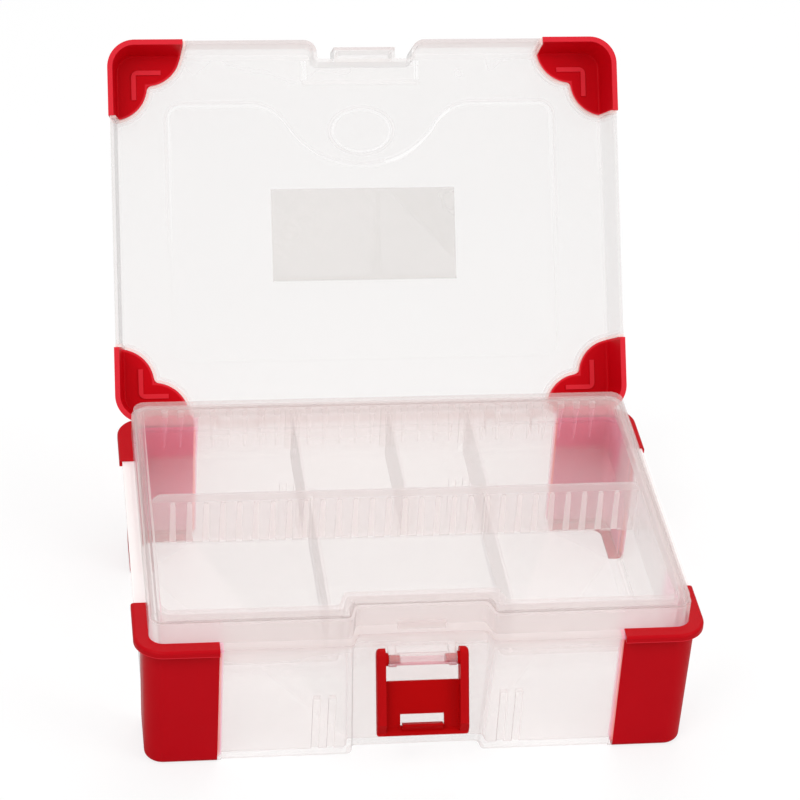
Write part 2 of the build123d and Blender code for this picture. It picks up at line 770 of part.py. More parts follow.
with BuildPart() as tray:
    # Rim with its turned-down lip
    extrude(rim_plan(tray_rim_inset, tray_lip_bottom), amount=tray_rim_top - tray_lip_bottom)
    fillet(tray.faces().sort_by(Axis.Z)[-1].edges(), radius=0.6)
    lip_room = rim_plan(tray_rim_inset + tray_lip_width, tray_lip_bottom)
    extrude(lip_room, amount=rim_under - tray_lip_bottom, mode=Mode.SUBTRACT)
    # Drafted body and its hollow
    body_top = tray_inset(tray_body_inset, rim_under)
    body_foot = tray_inset(tray_body_inset, tray_bottom)
    loft([rim_plan(body_foot, tray_bottom), rim_plan(body_top, rim_under)])
    hollow_foot = tray_inset(tray_inner, tray_floor)
    loft([rim_plan(hollow_foot, tray_floor), rim_plan(tray_inner, tray_rim_top)], mode=Mode.SUBTRACT)

    # Long wall across the middle, its top corners rounded
    half_span = box_width / 2 - tray_inset(tray_inner, tray_floor) + tray_wall / 2
    with BuildSketch(Plane.XZ.offset(-mid_wall_y - tray_wall / 2)) as mid_wall:
        with Locations((0, tray_floor - 0.4)):
            Rectangle(2 * half_span, mid_wall_top - tray_floor + 0.4, align=(Align.CENTER, Align.MIN))
        fillet(mid_wall.vertices().group_by(Axis.Y)[-1], radius=mid_wall_round)
    extrude(amount=tray_wall)

    # Two short walls in the front row
    front_face = box_depth / 2 - tray_inset(tray_inner, tray_floor) + tray_wall / 2
    with BuildSketch(Plane.XY.offset(tray_floor - 0.4)):
        with Locations((-front_wall_x, mid_wall_y), (front_wall_x, mid_wall_y)):
            Rectangle(tray_wall, mid_wall_y + front_face, align=(Align.CENTER, Align.MAX))
    extrude(amount=front_wall_top - tray_floor + 0.4)

    # Tapered ribs on the back of the mid wall
    with BuildSketch(Plane.XZ.offset(-mid_wall_y - tray_wall / 2)):
        with Locations((0, tray_floor - 0.4)):
            with GridLocations(rib_pitch, 0, rib_count, 1):
                Polygon(
                    (-rib_foot_width / 2, 0),
                    (rib_foot_width / 2, 0),
                    (rib_top_width / 2, rib_top - tray_floor - 0.3),
                    (rib_top_width / 2 - 0.5, rib_top - tray_floor + 0.4),
                    (0.5 - rib_top_width / 2, rib_top - tray_floor + 0.4),
                    (-rib_top_width / 2, rib_top - tray_floor - 0.3),
                    align=None,
                )
    extrude(amount=-rib_height)

    # Ribs on the back wall, running out to a point
    with BuildSketch(Plane.XZ.offset(-back_rib_face)):
        with GridLocations(rib_pitch, 0, rib_count, 1):
            Polygon(
                (-rib_foot_width / 2, back_rib_top),
                (-back_rib_tip_width / 2, back_rib_tip),
                (back_rib_tip_width / 2, back_rib_tip),
                (rib_foot_width / 2, back_rib_top),
                align=None,
            )
    extrude(amount=-1.6)
tray.part.label = "tray"
export_step(tray.part, "parts/tray.step")


# Loose dividers of the back row

def wall_at(height):
    """Inner face of the tray's back wall at one height."""
    return box_depth / 2 - tray_inset(tray_inner, height)


rib_room = rib_foot_width / 2 + divider_clearance
front_end = mid_wall_y + tray_wall / 2 + divider_clearance
front_rib_end = mid_wall_y + tray_wall / 2 + rib_height + divider_clearance
back_rib_end = back_rib_face - divider_clearance


def divider(x):
    """Divider at one slot: a plate with a clip at each end that straddles a rib."""
    with BuildPart() as body:
        # Plate between the ribs
        with BuildSketch(Plane.XY.offset(tray_floor)):
            plate_length = back_rib_end - front_rib_end + 0.4
            with Locations((x, front_rib_end - 0.2)):
                Rectangle(divider_thickness, plate_length, align=(Align.CENTER, Align.MIN))
        extrude(amount=divider_top - tray_floor)
        # Clip and stem at the mid wall
        with BuildSketch(Plane.XZ.offset(-front_end)) as clip:
            with Locations((x, clip_bottom)):
                Rectangle(clip_width, divider_top - clip_bottom, align=(Align.CENTER, Align.MIN))
            fillet(clip.vertices(), radius=clip_round)
            with Locations((x, tray_floor)):
                Rectangle(stem_width, divider_top - tray_floor, align=(Align.CENTER, Align.MIN))
        extrude(amount=-clip_depth)
        with BuildSketch(Plane.XY.offset(tray_floor)):
            with Locations((x, front_end - 1)):
                Rectangle(2 * rib_room, front_rib_end - front_end + 1, align=(Align.CENTER, Align.MIN))
        extrude(amount=rib_top + 2 * divider_clearance - tray_floor, mode=Mode.SUBTRACT)
        # Clip at the back wall, leaning with it
        with BuildSketch(Plane.YZ.offset(x - back_clip_width / 2)):
            Polygon(
                (back_rib_end - 1.2, clip_bottom),
                (wall_at(clip_bottom) - divider_clearance, clip_bottom),
                (wall_at(divider_top) - divider_clearance, divider_top),
                (back_rib_end - 1.2, divider_top),
                align=None,
            )
        extrude(amount=back_clip_width)
        with BuildSketch(Plane.XY.offset(clip_bottom)):
            with Locations((x, back_rib_end)):
                Rectangle(2 * rib_room, 5, align=(Align.CENTER, Align.MIN))
        extrude(amount=divider_top - clip_bottom, mode=Mode.SUBTRACT)
    return body.part


def slot_x(slot):
    """Middle of one rib, counted from the left."""
    return (slot - (rib_count - 1) / 2) * rib_pitch


with BuildPart() as tray_divider_left:
    add(divider(slot_x(divider_slots[0])))
tray_divider_left.part.label = "tray_divider_left"
export_step(tray_divider_left.part, "parts/tray_divider_left.step")

with BuildPart() as tray_divider_middle:
    add(divider(slot_x(divider_slots[1])))
tray_divider_middle.part.label = "tray_divider_middle"
export_step(tray_divider_middle.part, "parts/tray_divider_middle.step")

with BuildPart() as tray_divider_right:
    add(divider(slot_x(divider_slots[2])))
tray_divider_right.part.label = "tray_divider_right"
export_step(tray_divider_right.part, "parts/tray_divider_right.step")
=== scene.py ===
import json
import math

import bpy
from mathutils import Matrix, Vector

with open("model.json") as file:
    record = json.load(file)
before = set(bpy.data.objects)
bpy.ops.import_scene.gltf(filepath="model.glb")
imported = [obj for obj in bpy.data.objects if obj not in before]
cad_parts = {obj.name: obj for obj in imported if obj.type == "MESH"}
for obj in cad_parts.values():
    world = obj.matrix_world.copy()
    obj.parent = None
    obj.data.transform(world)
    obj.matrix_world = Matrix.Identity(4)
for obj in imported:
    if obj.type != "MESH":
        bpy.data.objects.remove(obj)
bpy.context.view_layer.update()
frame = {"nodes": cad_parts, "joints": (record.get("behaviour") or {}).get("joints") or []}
nodes = frame["nodes"]
scene = bpy.context.scene
scene.view_settings.view_transform = "Standard"

# A ray crosses many clear walls in a row before it has left the box
scene.cycles.transparent_max_bounces = 32

BASE_CAPS = [name for name in nodes if name.startswith("base_corner")]
LID_CAPS = [name for name in nodes if name.startswith("lid_corner")]
DIVIDERS = [name for name in nodes if "divider" in name]
RED_NODES = BASE_CAPS + LID_CAPS + ["latch"]

# The lid is modelled open: this turn about its hinge shuts it
LID_HINGE = next(joint for joint in frame["joints"] if joint["name"] == "lid_hinge")
LID_OPENING = math.radians(-LID_HINGE["range_deg"][0])

# Edge treatment, in metres
RED_EDGE_ROUND = 0.0003
CLEAR_EDGE_ROUND = 0.0002
ROUND_ANGLE = math.radians(35)
SMOOTH_ANGLE = math.radians(28)


# Camera fitted to the photograph, its place in metres and its lens in millimetres

CAMERA_PLACE = (-0.1571774, -0.9845262, 0.7495304)
CAMERA_RIGHT = (0.9911539, -0.1223649, 0.0513881)
CAMERA_DOWN = (-0.0226364, -0.5373908, -0.8430295)
CAMERA_LOOK = (0.1307727, 0.8344087, -0.5354069)
SENSOR_WIDTH = 36.0
LENS = 132.78
CLIP_END = 20.0

# Strength of the sky as light, and where it is seen or mirrored
SKY_LIGHT = 0.68
SKY_SEEN = 1.0

# Floor, its reach in metres
FLOOR_REACH = 6.0
FLOOR_BOUNCE = (0.66, 0.66, 0.66)
FLOOR_SEEN = (0.9, 0.9, 0.9)
FLOOR_GLOW = 0.75

WHITE_LIGHT = (1.0, 1.0, 1.0)


# Object coordinates are in metres, and all places below in millimetres
MILLIMETRES = 1000.0


# Boxes that pick out places on the object, as lowest and highest corner, in millimetres.
# Boxes on the lid and its caps are for the shut lid.

# Front wall of the lid, painted in shade
LID_FRONT = ((-120, -90, 0), (120, -78, 67))
# Span of a broad painted highlight beside the raised field
FIELD_HIGHLIGHT_SPAN = ((10, -57, 0), (40, -31, 90))
# Lower half of the barrel that holds the latch, where red light from the latch is painted on
BARREL_LOWER_HALF = ((-13.5, -82, 44.6), (13.5, -75, 48))
TRAY_RIM = ((-120, -90, 66), (120, 90, 71))
MID_WALL_FACES = ((-101, 7.2, 45), (101, 8.8, 69.5))
MID_RIB_FACES = ((-96, 9.7, 44.5), (96, 10.1, 64.9))
BACK_RIB_FACES = ((-96, 70.5, 51), (96, 70.7, 68.9))

# Boxes for places folded over onto the right half
# Painted highlight on the sides of the lid's notch and a painted shade line at its back
LID_NOTCH_SIDE = ((24, -76, 60), (26.4, -67.5, 90))
LID_NOTCH_BACK = ((-1, -67.2, 60), (26, -66, 90))
# Front top edge of the lid, given a painted shade line
LID_FRONT_TOP = ((-1, -83, 75.8), (113, -76.5, 77))
LID_SIDE_WALL = ((107, -78, 0), (120, 90, 90))
TRAY_LIP_NOTCH = ((-1, -77, 0), (28.9, -66.9, 90))

# Boxes for places folded into one quarter
# Corners of the bin, where red light from the base caps is painted on
BIN_CORNER = ((78, 48, 4), (113, 84, 58))
BIN_SIDE_WALL = ((103.5, -1, 3), (110, 48, 57))
SIDE_FLANGE = ((103.8, -1, 56.5), (113, 51, 58.2))
# Strips of clear wall beside the red caps, where red light from the caps is painted on
FRONT_STRIP = ((78.6, 74, 3), (79.6, 84, 56.6))
SIDE_STRIP = ((103.5, 49.3, 3), (113, 50.4, 56.6))
TRAY_BODY = ((-1, -1, 0), (104.3, 75, 90))
# Corners of the tray, where red light from the red caps is painted on
TRAY_CORNER = ((78, 48, 46), (113, 84, 66))
TRAY_SHORT_WALL = ((35.2, -1, 45), (36.8, 76, 67.2))
# Painted highlights on the lid caps' rims and angle ribs
LID_CAP_RIM = ((0, 0, 58), (113, 84, 59))
ANGLE_RIB_ARM = ((88.4, 70.2, 74), (101.6, 72.3, 75.8))
ANGLE_RIB_LEG = ((99.4, 59.2, 74), (101.6, 72.3, 75.8))

# Raised field and oval of the lid, in millimetres
FIELD_HALF_WIDTH = 86.0
FIELD_HALF_DEPTH = 57.0
FIELD_ROUND = 6.0
DIP_CENTRE_Y = -68.57
DIP_RADIUS = 39.07
FLANK_START = 33.0
FLANK_CENTRE_X = 50.0
FLANK_CENTRE_Y = -36.88
FLANK_RADIUS = 20.12
OVAL_CENTRE_Y = -45.0
OVAL_STRETCH = 1.38
OVAL_SCALE = 0.8

# Centres of the two arcs of a scalloped corner, in millimetres
SCALLOP_SIDE_ARC = (95.0, 80.75)
SCALLOP_END_ARC = (110.0, 65.75)

# Stripes, as the distance or height at their middle and their half width, in millimetres
# Painted highlight and painted shade lines along the edge of the lid's raised field, for light bent
# at its step
FIELD_EDGE_HIGHLIGHT = (-0.6, 1.1)
FIELD_EDGE_SHADE = (0.9, 0.8)
# Broad painted highlight beside the field's edge
FIELD_EDGE_BROAD_HIGHLIGHT = (0.2, 2.2)
# Painted highlight and painted shade lines round the lid's oval
OVAL_EDGE_HIGHLIGHT = (10.2, 0.9)
OVAL_EDGE_SHADE = (11.6, 0.8)
# Painted highlight along the scalloped edge of a lid cap
CAP_SCALLOP_EDGE = (15.0, 0.8)
# Painted highlight on the top of the bead beside the lid caps, and a painted shade line at its foot
BEAD_TOP = (16.2, 0.9)
BEAD_FOOT = (17.7, 0.8)
# Painted shade line at the foot of the tray's lip
TRAY_LIP_FOOT = (67.4, 0.5)
# Painted highlight along the foot of a base cap's lip
CAP_LIP_FOOT = (55.7, 0.4)
# Painted highlight along the latch's foot
LATCH_FOOT = (18.5, 1.5)

# Stretches along which something fades in or out, in millimetres
FIELD_FADE = (-50.0, 15.0)
# Stretch over which the lid's painted shade fades out towards its back
LID_FADE = (-80.0, 80.0)
RIM_FADE = (38.0, 58.0)
# Heights over which the painted red light in the bin's corners fades
CORNER_FADE = (52.0, 14.0)

# Distance from the middle at which the side strips of the latch begin, in millimetres
LATCH_STRIP_START = 14.65


# Colours

WHITE_MILK = (0.96, 0.945, 0.94)
ROSY_MILK = (0.95, 0.92, 0.915)
LID_SHADE = (0.88, 0.865, 0.86)
ROSY_SHADE = (0.9, 0.84, 0.835)
DIVIDER_SHADE = (0.92, 0.88, 0.875)
LABEL_SHADE = (0.7, 0.685, 0.66)
LABEL_LIGHT = (0.76, 0.745, 0.72)
PASSING_LIGHT = (0.995, 0.99, 0.988)
PASSING_LAMP_LIGHT = (0.97, 0.965, 0.96)

# Painted pinkish shade for the lid's front wall
LID_FRONT_SHADE = (0.78, 0.7, 0.69)
# Painted highlight on the bead beside the lid caps
BEAD_HIGHLIGHT_PEACH = (1.0, 0.84, 0.79)
RIM_ROSE = (0.78, 0.69, 0.68)
FLANGE_WHITE = (0.97, 0.95, 0.945)
# Painted red light from the base caps in the bin's corners
BIN_CORNER_RED_BOUNCE = (1.0, 0.48, 0.66)
# Painted red light from the caps on the strips of clear wall beside them
STRIP_RED_BOUNCE = (0.98, 0.42, 0.4)
# Painted red light from the latch on the barrel
BARREL_RED_BOUNCE = (0.8, 0.34, 0.4)
TRAY_RIM_ROSE = (0.8, 0.72, 0.71)
MID_WALL_GREY = (0.8, 0.75, 0.745)
LIP_SHADOW = (0.5, 0.42, 0.41)
# Painted red light from the red caps in the tray's corners
TRAY_CORNER_RED_BOUNCE = (1.0, 0.5, 0.64)

BASE_RED_DARK = (0.58, 0.003, 0.009)
BASE_RED_LIGHT = (0.64, 0.004, 0.012)
LID_RED_DARK = (0.62, 0.002, 0.008)
LID_RED_LIGHT = (0.69, 0.003, 0.011)
LATCH_RED_DARK = (0.5, 0.002, 0.003)
LATCH_RED_LIGHT = (0.56, 0.003, 0.004)
# Lighter red painted on as highlights, and on the latch's side strips
BRIGHT_RED = (0.86, 0.035, 0.055)


# Surfaces

CLEAR_IOR = 1.22
CLEAR_ROUGHNESS = (0.12, 0.2)
HAZE_SPREAD = (0.8, 1.2)
EDGE_FALLOFF = 3.0
MILK_FROM_BEHIND = 0.5
RED_IOR = 1.45
RED_ROUGHNESS = (0.28, 0.38)
RED_FROM_BEHIND = 0.3


# Building blocks of the materials

def fresh_tree(name):
    material = bpy.data.materials.new(name)
    material.use_nodes = True
    tree = material.node_tree
    tree.nodes.clear()
    out = tree.nodes.new("ShaderNodeOutputMaterial")
    return material, tree, out


def coloured(tree, kind, colour):
    """A shader of one colour all over."""
    shader = tree.nodes.new(kind)
    shader.inputs["Color"].default_value = (*colour, 1.0)
    return shader


def noise(tree, scale, detail):
    place = tree.nodes.new("ShaderNodeTexCoord")
    texture = tree.nodes.new("ShaderNodeTexNoise")
    texture.inputs["Scale"].default_value = scale
    texture.inputs["Detail"].default_value = detail
    tree.links.new(place.outputs["Object"], texture.inputs["Vector"])
    return texture.outputs["Fac"]


def spread(tree, value, low, high, start=0.0, end=1.0):
    """A value between start and end carried over to a range."""
    ramp = tree.nodes.new("ShaderNodeMapRange")
    ramp.inputs["From Min"].default_value = start
    ramp.inputs["From Max"].default_value = end
    ramp.inputs["To Min"].default_value = low
    ramp.inputs["To Max"].default_value = high
    tree.links.new(value, ramp.inputs["Value"])
    return ramp.outputs["Result"]


def tones(tree, value, dark, light):
    """A 0 to 1 value carried over to a colour between two tones."""
    ramp = tree.nodes.new("ShaderNodeValToRGB")
    ramp.color_ramp.elements[0].color = (*dark, 1.0)
    ramp.color_ramp.elements[1].color = (*light, 1.0)
    tree.links.new(value, ramp.inputs["Fac"])
    return ramp.outputs["Color"]


def tint(tree, factor, colour, other):
    """A colour turned towards another one by a factor."""
    mix = tree.nodes.new("ShaderNodeMixRGB")
    tree.links.new(factor, mix.inputs["Fac"])
    tree.links.new(colour, mix.inputs["Color1"])
    mix.inputs["Color2"].default_value = (*other, 1.0)
    return mix.outputs[0]


def ripple(tree, height, distance, strength):
    bump = tree.nodes.new("ShaderNodeBump")
    bump.inputs["Distance"].default_value = distance
    bump.inputs["Strength"].default_value = strength
    tree.links.new(height, bump.inputs["Height"])
    return bump.outputs["Normal"]


def blend(tree, factor, first, second):
    """Two shaders mixed, by a number or by a value that changes over the surface."""
    mix = tree.nodes.new("ShaderNodeMixShader")
    if isinstance(factor, float):
        mix.inputs[0].default_value = factor
    else:
        tree.links.new(factor, mix.inputs[0])
    tree.links.new(first, mix.inputs[1])
    tree.links.new(second, mix.inputs[2])
    return mix.outputs[0]


def maths(tree, operation, first, second=0.0):
    step = tree.nodes.new("ShaderNodeMath")
    step.operation = operation
    for slot, value in enumerate((first, second)):
        if isinstance(value, float):
            step.inputs[slot].default_value = value
        else:
            tree.links.new(value, step.inputs[slot])
    return step.outputs[0]


def folded(tree, operation, values):
    """The same operation on a row of values, from the first to the last."""
    result = values[0]
    for value in values[1:]:
        result = maths(tree, operation, result, value)
    return result


def both(tree, *masks):
    """1 where all the masks are 1."""
    return folded(tree, "MULTIPLY", masks)


def either(tree, *masks):
    """1 where any of the masks is 1."""
    return folded(tree, "MAXIMUM", masks)


def total(tree, terms):
    """Sum of masks, each times its weight."""
    return folded(tree, "ADD", [maths(tree, "MULTIPLY", *term) for term in terms])


def reach(tree, across, deep):
    """Length of the way that goes so far across and so far deep."""
    squares = [maths(tree, "POWER", way, 2.0) for way in (across, deep)]
    return maths(tree, "SQRT", folded(tree, "ADD", squares))


# Places on the object

def places(tree, lid=False):
    """Object coordinates in millimetres, on the lid those it has when shut."""
    place = tree.nodes.new("ShaderNodeTexCoord")
    turn = tree.nodes.new("ShaderNodeVectorRotate")
    turn.rotation_type = "X_AXIS"
    turn.inputs["Center"].default_value = LID_HINGE["pos_m"]
    turn.inputs["Angle"].default_value = LID_OPENING if lid else 0.0
    grown = tree.nodes.new("ShaderNodeVectorMath")
    grown.operation = "SCALE"
    grown.inputs["Scale"].default_value = MILLIMETRES
    parts = tree.nodes.new("ShaderNodeSeparateXYZ")
    tree.links.new(place.outputs["Object"], turn.inputs["Vector"])
    tree.links.new(turn.outputs["Vector"], grown.inputs[0])
    tree.links.new(grown.outputs[0], parts.inputs[0])
    return list(parts.outputs)


def halved(tree, place):
    """Places folded over onto the right half of the box."""
    return [maths(tree, "ABSOLUTE", place[0]), place[1], place[2]]


def quartered(tree, place):
    """Places folded into one quarter of the box."""
    return [maths(tree, "ABSOLUTE", place[0]), maths(tree, "ABSOLUTE", place[1]), place[2]]


def in_box(tree, place, box):
    """1 inside a box, 0 outside it."""
    spans = []
    for value, low, high in zip(place, *box):
        spans.append(maths(tree, "GREATER_THAN", value, float(low)))
        spans.append(maths(tree, "LESS_THAN", value, float(high)))
    return both(tree, *spans)


def line(tree, distance, stripe):
    """1 at the middle of a stripe, falling smoothly to 0 on both sides of it."""
    middle, half = stripe
    off = maths(tree, "ABSOLUTE", maths(tree, "SUBTRACT", distance, middle))
    ramp = tree.nodes.new("ShaderNodeMapRange")
    ramp.interpolation_type = "SMOOTHSTEP"
    ramp.inputs["From Max"].default_value = half
    ramp.inputs["To Min"].default_value = 1.0
    ramp.inputs["To Max"].default_value = 0.0
    tree.links.new(off, ramp.inputs["Value"])
    return ramp.outputs["Result"]


def from_point(tree, place, x, y, stretch=1.0):
    """Distance to a point in plan, with the depth stretched."""
    across = maths(tree, "SUBTRACT", place[0], x)
    deep = maths(tree, "MULTIPLY", maths(tree, "SUBTRACT", place[1], y), stretch)
    return reach(tree, across, deep)


def arc_height(tree, across, centre, radius):
    """Height of a circle above its middle line."""
    off = maths(tree, "SUBTRACT", across, centre)
    inside = maths(tree, "SUBTRACT", radius * radius, maths(tree, "MULTIPLY", off, off))
    return maths(tree, "SQRT", maths(tree, "MAXIMUM", inside, 0.0))


def field_front(tree, across):
    """Depth at which the raised field ends in front: a dip round the oval, then an arc back out."""
    dip = maths(tree, "ADD", arc_height(tree, across, 0.0, DIP_RADIUS), DIP_CENTRE_Y)
    near = maths(tree, "MINIMUM", across, FLANK_CENTRE_X)
    flank_arc = arc_height(tree, near, FLANK_CENTRE_X, FLANK_RADIUS)
    flank = maths(tree, "SUBTRACT", FLANK_CENTRE_Y, flank_arc)
    on_flank = maths(tree, "GREATER_THAN", across, FLANK_START)
    step = maths(tree, "MULTIPLY", on_flank, maths(tree, "SUBTRACT", flank, dip))
    return maths(tree, "ADD", dip, step)


def field_distance(tree, place):
    """Distance out from the edge of the lid's raised field, below 0 on the field."""
    across = maths(tree, "ABSOLUTE", place[0])
    front = maths(tree, "SUBTRACT", field_front(tree, across), place[1])
    back = maths(tree, "SUBTRACT", place[1], FIELD_HALF_DEPTH)
    side_way = maths(tree, "SUBTRACT", across, FIELD_HALF_WIDTH - FIELD_ROUND)
    depth_way = maths(tree, "ADD", maths(tree, "MAXIMUM", front, back), FIELD_ROUND)
    beyond = [maths(tree, "MAXIMUM", way, 0.0) for way in (side_way, depth_way)]
    outer = reach(tree, *beyond)
    inner = maths(tree, "MINIMUM", maths(tree, "MAXIMUM", side_way, depth_way), 0.0)
    return maths(tree, "SUBTRACT", maths(tree, "ADD", outer, inner), FIELD_ROUND)


def scallop_distance(tree, place):
    """Distance to the nearer of the two arc centres of a scalloped corner."""
    quarter = quartered(tree, place)
    side_arc = from_point(tree, quarter, *SCALLOP_SIDE_ARC)
    end_arc = from_point(tree, quarter, *SCALLOP_END_ARC)
    return maths(tree, "MINIMUM", side_arc, end_arc)


# Masks, which are 1 on one feature of the object

def rim_zone(tree, place):
    """Rises from 0 low on the bin to 1 at its flange and above it."""
    return spread(tree, place[2], 0.0, 1.0, *RIM_FADE)


def cap_strips(tree, place):
    """1 on the narrow strips of clear wall that run up beside the red caps."""
    quarter = quartered(tree, place)
    return either(tree, in_box(tree, quarter, FRONT_STRIP), in_box(tree, quarter, SIDE_STRIP))


def lip_shade(tree, place):
    """1 along the foot of the tray's lip, where it sits on the upstand."""
    body = in_box(tree, quartered(tree, place), TRAY_BODY)
    notch = in_box(tree, halved(tree, place), TRAY_LIP_NOTCH)
    outside = either(tree, maths(tree, "SUBTRACT", 1.0, body), notch)
    return both(tree, outside, line(tree, place[2], TRAY_LIP_FOOT))


# Haze from place to place: each mask with the share of milk that it adds or takes away

def lid_haze(tree):
    place = places(tree, lid=True)
    half = halved(tree, place)
    field = field_distance(tree, place)
    fade = spread(tree, place[1], 1.0, 0.0, *FIELD_FADE)
    # Painted highlight and painted shade lines along the field's edge
    painted_highlight_edge = both(tree, line(tree, field, FIELD_EDGE_HIGHLIGHT), fade)
    painted_shade_edge = both(tree, line(tree, field, FIELD_EDGE_SHADE), fade)
    # A broad painted highlight along one side of the field's dip
    broad_highlight_span = in_box(tree, place, FIELD_HIGHLIGHT_SPAN)
    broad_highlight = both(tree, line(tree, field, FIELD_EDGE_BROAD_HIGHLIGHT), broad_highlight_span)
    from_oval = from_point(tree, place, 0.0, OVAL_CENTRE_Y, OVAL_STRETCH)
    oval = maths(tree, "MULTIPLY", from_oval, OVAL_SCALE)
    scallop = scallop_distance(tree, place)
    return total(
        tree,
        [
            # painted highlight and painted shade along the field's edge
            (painted_highlight_edge, -0.16),
            (painted_shade_edge, 0.22),
            # broad painted highlight
            (broad_highlight, -0.2),
            # painted highlight and painted shade round the oval
            (line(tree, oval, OVAL_EDGE_HIGHLIGHT), -0.16),
            (line(tree, oval, OVAL_EDGE_SHADE), 0.25),
            # painted highlight on the notch's sides, painted shade line at its back
            (in_box(tree, half, LID_NOTCH_SIDE), -0.2),
            (in_box(tree, half, LID_NOTCH_BACK), 0.18),
            # painted shade: the lid greyer towards its front, on its front wall and along its front
            # top edge
            (spread(tree, place[1], 0.12, 0.0, *LID_FADE), 1.0),
            (in_box(tree, place, LID_FRONT), 0.2),
            (in_box(tree, half, LID_FRONT_TOP), 0.2),
            # painted highlight on the bead beside the caps, painted shade line at its foot
            (line(tree, scallop, BEAD_TOP), 0.5),
            (line(tree, scallop, BEAD_FOOT), 0.25),
            (in_box(tree, half, LID_SIDE_WALL), 0.04),
        ],
    )


def bin_haze(tree):
    place = places(tree)
    quarter = quartered(tree, place)
    # Painted red light from the base caps in the bin's corners, stronger lower down
    corner_fade = spread(tree, place[2], 0.15, 1.0, *CORNER_FADE)
    red_bounce_corners = both(tree, in_box(tree, quarter, BIN_CORNER), corner_fade)
    return total(
        tree,
        [
            (rim_zone(tree, place), 0.16),
            # painted red light from the latch
            (in_box(tree, place, BARREL_LOWER_HALF), 0.2),
            # painted red light in the bin's corners
            (red_bounce_corners, 0.34),
            (in_box(tree, quarter, BIN_SIDE_WALL), -0.24),
            (in_box(tree, quarter, SIDE_FLANGE), 0.5),
            # painted red light beside the caps
            (cap_strips(tree, place), 0.25),
        ],
    )


def tray_haze(tree):
    place = places(tree)
    return total(
        tree,
        [
            (in_box(tree, place, MID_RIB_FACES), 0.45),
            (in_box(tree, place, BACK_RIB_FACES), 0.1),
            (in_box(tree, place, TRAY_RIM), 0.1),
            (in_box(tree, place, MID_WALL_FACES), 0.09),
            (lip_shade(tree, place), 0.3),
            (in_box(tree, quartered(tree, place), TRAY_SHORT_WALL), -0.18),
        ],
    )


# Colour casts: each mask with its strength and the colour that it turns the plastic to

def lid_casts(tree):
    place = places(tree, lid=True)
    # Painted highlight along the bead beside the caps
    bead_highlight = line(tree, scallop_distance(tree, place), BEAD_TOP)
    return [
        # painted shade on the lid's front wall
        (in_box(tree, place, LID_FRONT), 0.8, LID_FRONT_SHADE),
        (bead_highlight, 1.0, BEAD_HIGHLIGHT_PEACH),
    ]


def bin_casts(tree):
    place = places(tree)
    quarter = quartered(tree, place)
    return [
        (rim_zone(tree, place), 0.8, RIM_ROSE),
        # painted red light from the base caps
        (in_box(tree, quarter, BIN_CORNER), 0.9, BIN_CORNER_RED_BOUNCE),
        (in_box(tree, quarter, SIDE_FLANGE), 0.9, FLANGE_WHITE),
        # painted red light beside the caps
        (cap_strips(tree, place), 1.0, STRIP_RED_BOUNCE),
        # painted red light from the latch
        (in_box(tree, place, BARREL_LOWER_HALF), 1.0, BARREL_RED_BOUNCE),
    ]


def tray_casts(tree):
    place = places(tree)
    return [
        (in_box(tree, place, TRAY_RIM), 0.8, TRAY_RIM_ROSE),
        (in_box(tree, place, MID_WALL_FACES), 0.8, MID_WALL_GREY),
        (lip_shade(tree, place), 1.0, LIP_SHADOW),
        # painted red light from the red caps
        (in_box(tree, quartered(tree, place), TRAY_CORNER), 0.8, TRAY_CORNER_RED_BOUNCE),
    ]


# Places on the red pieces that are lighter: painted highlights, and the latch's side strips

def base_cap_light(tree):
    """The lower edge of the lip of a base cap, which catches the light."""
    return line(tree, places(tree)[2], CAP_LIP_FOOT)


def latch_light(tree):
    """The side strips of the latch, a little lighter than its plate, and a painted highlight along
    its foot.
    """
    place = places(tree)
    from_middle = maths(tree, "ABSOLUTE", place[0])
    strips = maths(tree, "GREATER_THAN", from_middle, LATCH_STRIP_START)
    return total(tree, [(strips, 0.08), (line(tree, place[2], LATCH_FOOT), 0.3)])


def lid_cap_light(tree):
    """The edges and the angle rib of a lid cap, which catch the light."""
    quarter = quartered(tree, places(tree, lid=True))
    edges = [in_box(tree, quarter, box) for box in (LID_CAP_RIM, ANGLE_RIB_ARM, ANGLE_RIB_LEG)]
    scallop = line(tree, scallop_distance(tree, quarter), CAP_SCALLOP_EDGE)
    return either(tree, *edges, scallop)


# Materials

def milk(tree, colour, normal):
    """Scattering plastic, lit as much from behind as from in front."""
    front = tree.nodes.new("ShaderNodeBsdfDiffuse")
    behind = tree.nodes.new("ShaderNodeBsdfTranslucent")
    for shader in (front, behind):
        tree.links.new(colour, shader.inputs["Color"])
        tree.links.new(normal, shader.inputs["Normal"])
    return blend(tree, MILK_FROM_BEHIND, front.outputs[0], behind.outputs[0])


def outer_gloss(tree):
    """How much the outer side of a clear wall mirrors."""
    mirror = tree.nodes.new("ShaderNodeFresnel")
    mirror.inputs["IOR"].default_value = CLEAR_IOR
    side = tree.nodes.new("ShaderNodeNewGeometry")
    outside = maths(tree, "SUBTRACT", 1.0, side.outputs["Backfacing"])
    return maths(tree, "MULTIPLY", mirror.outputs[0], outside)


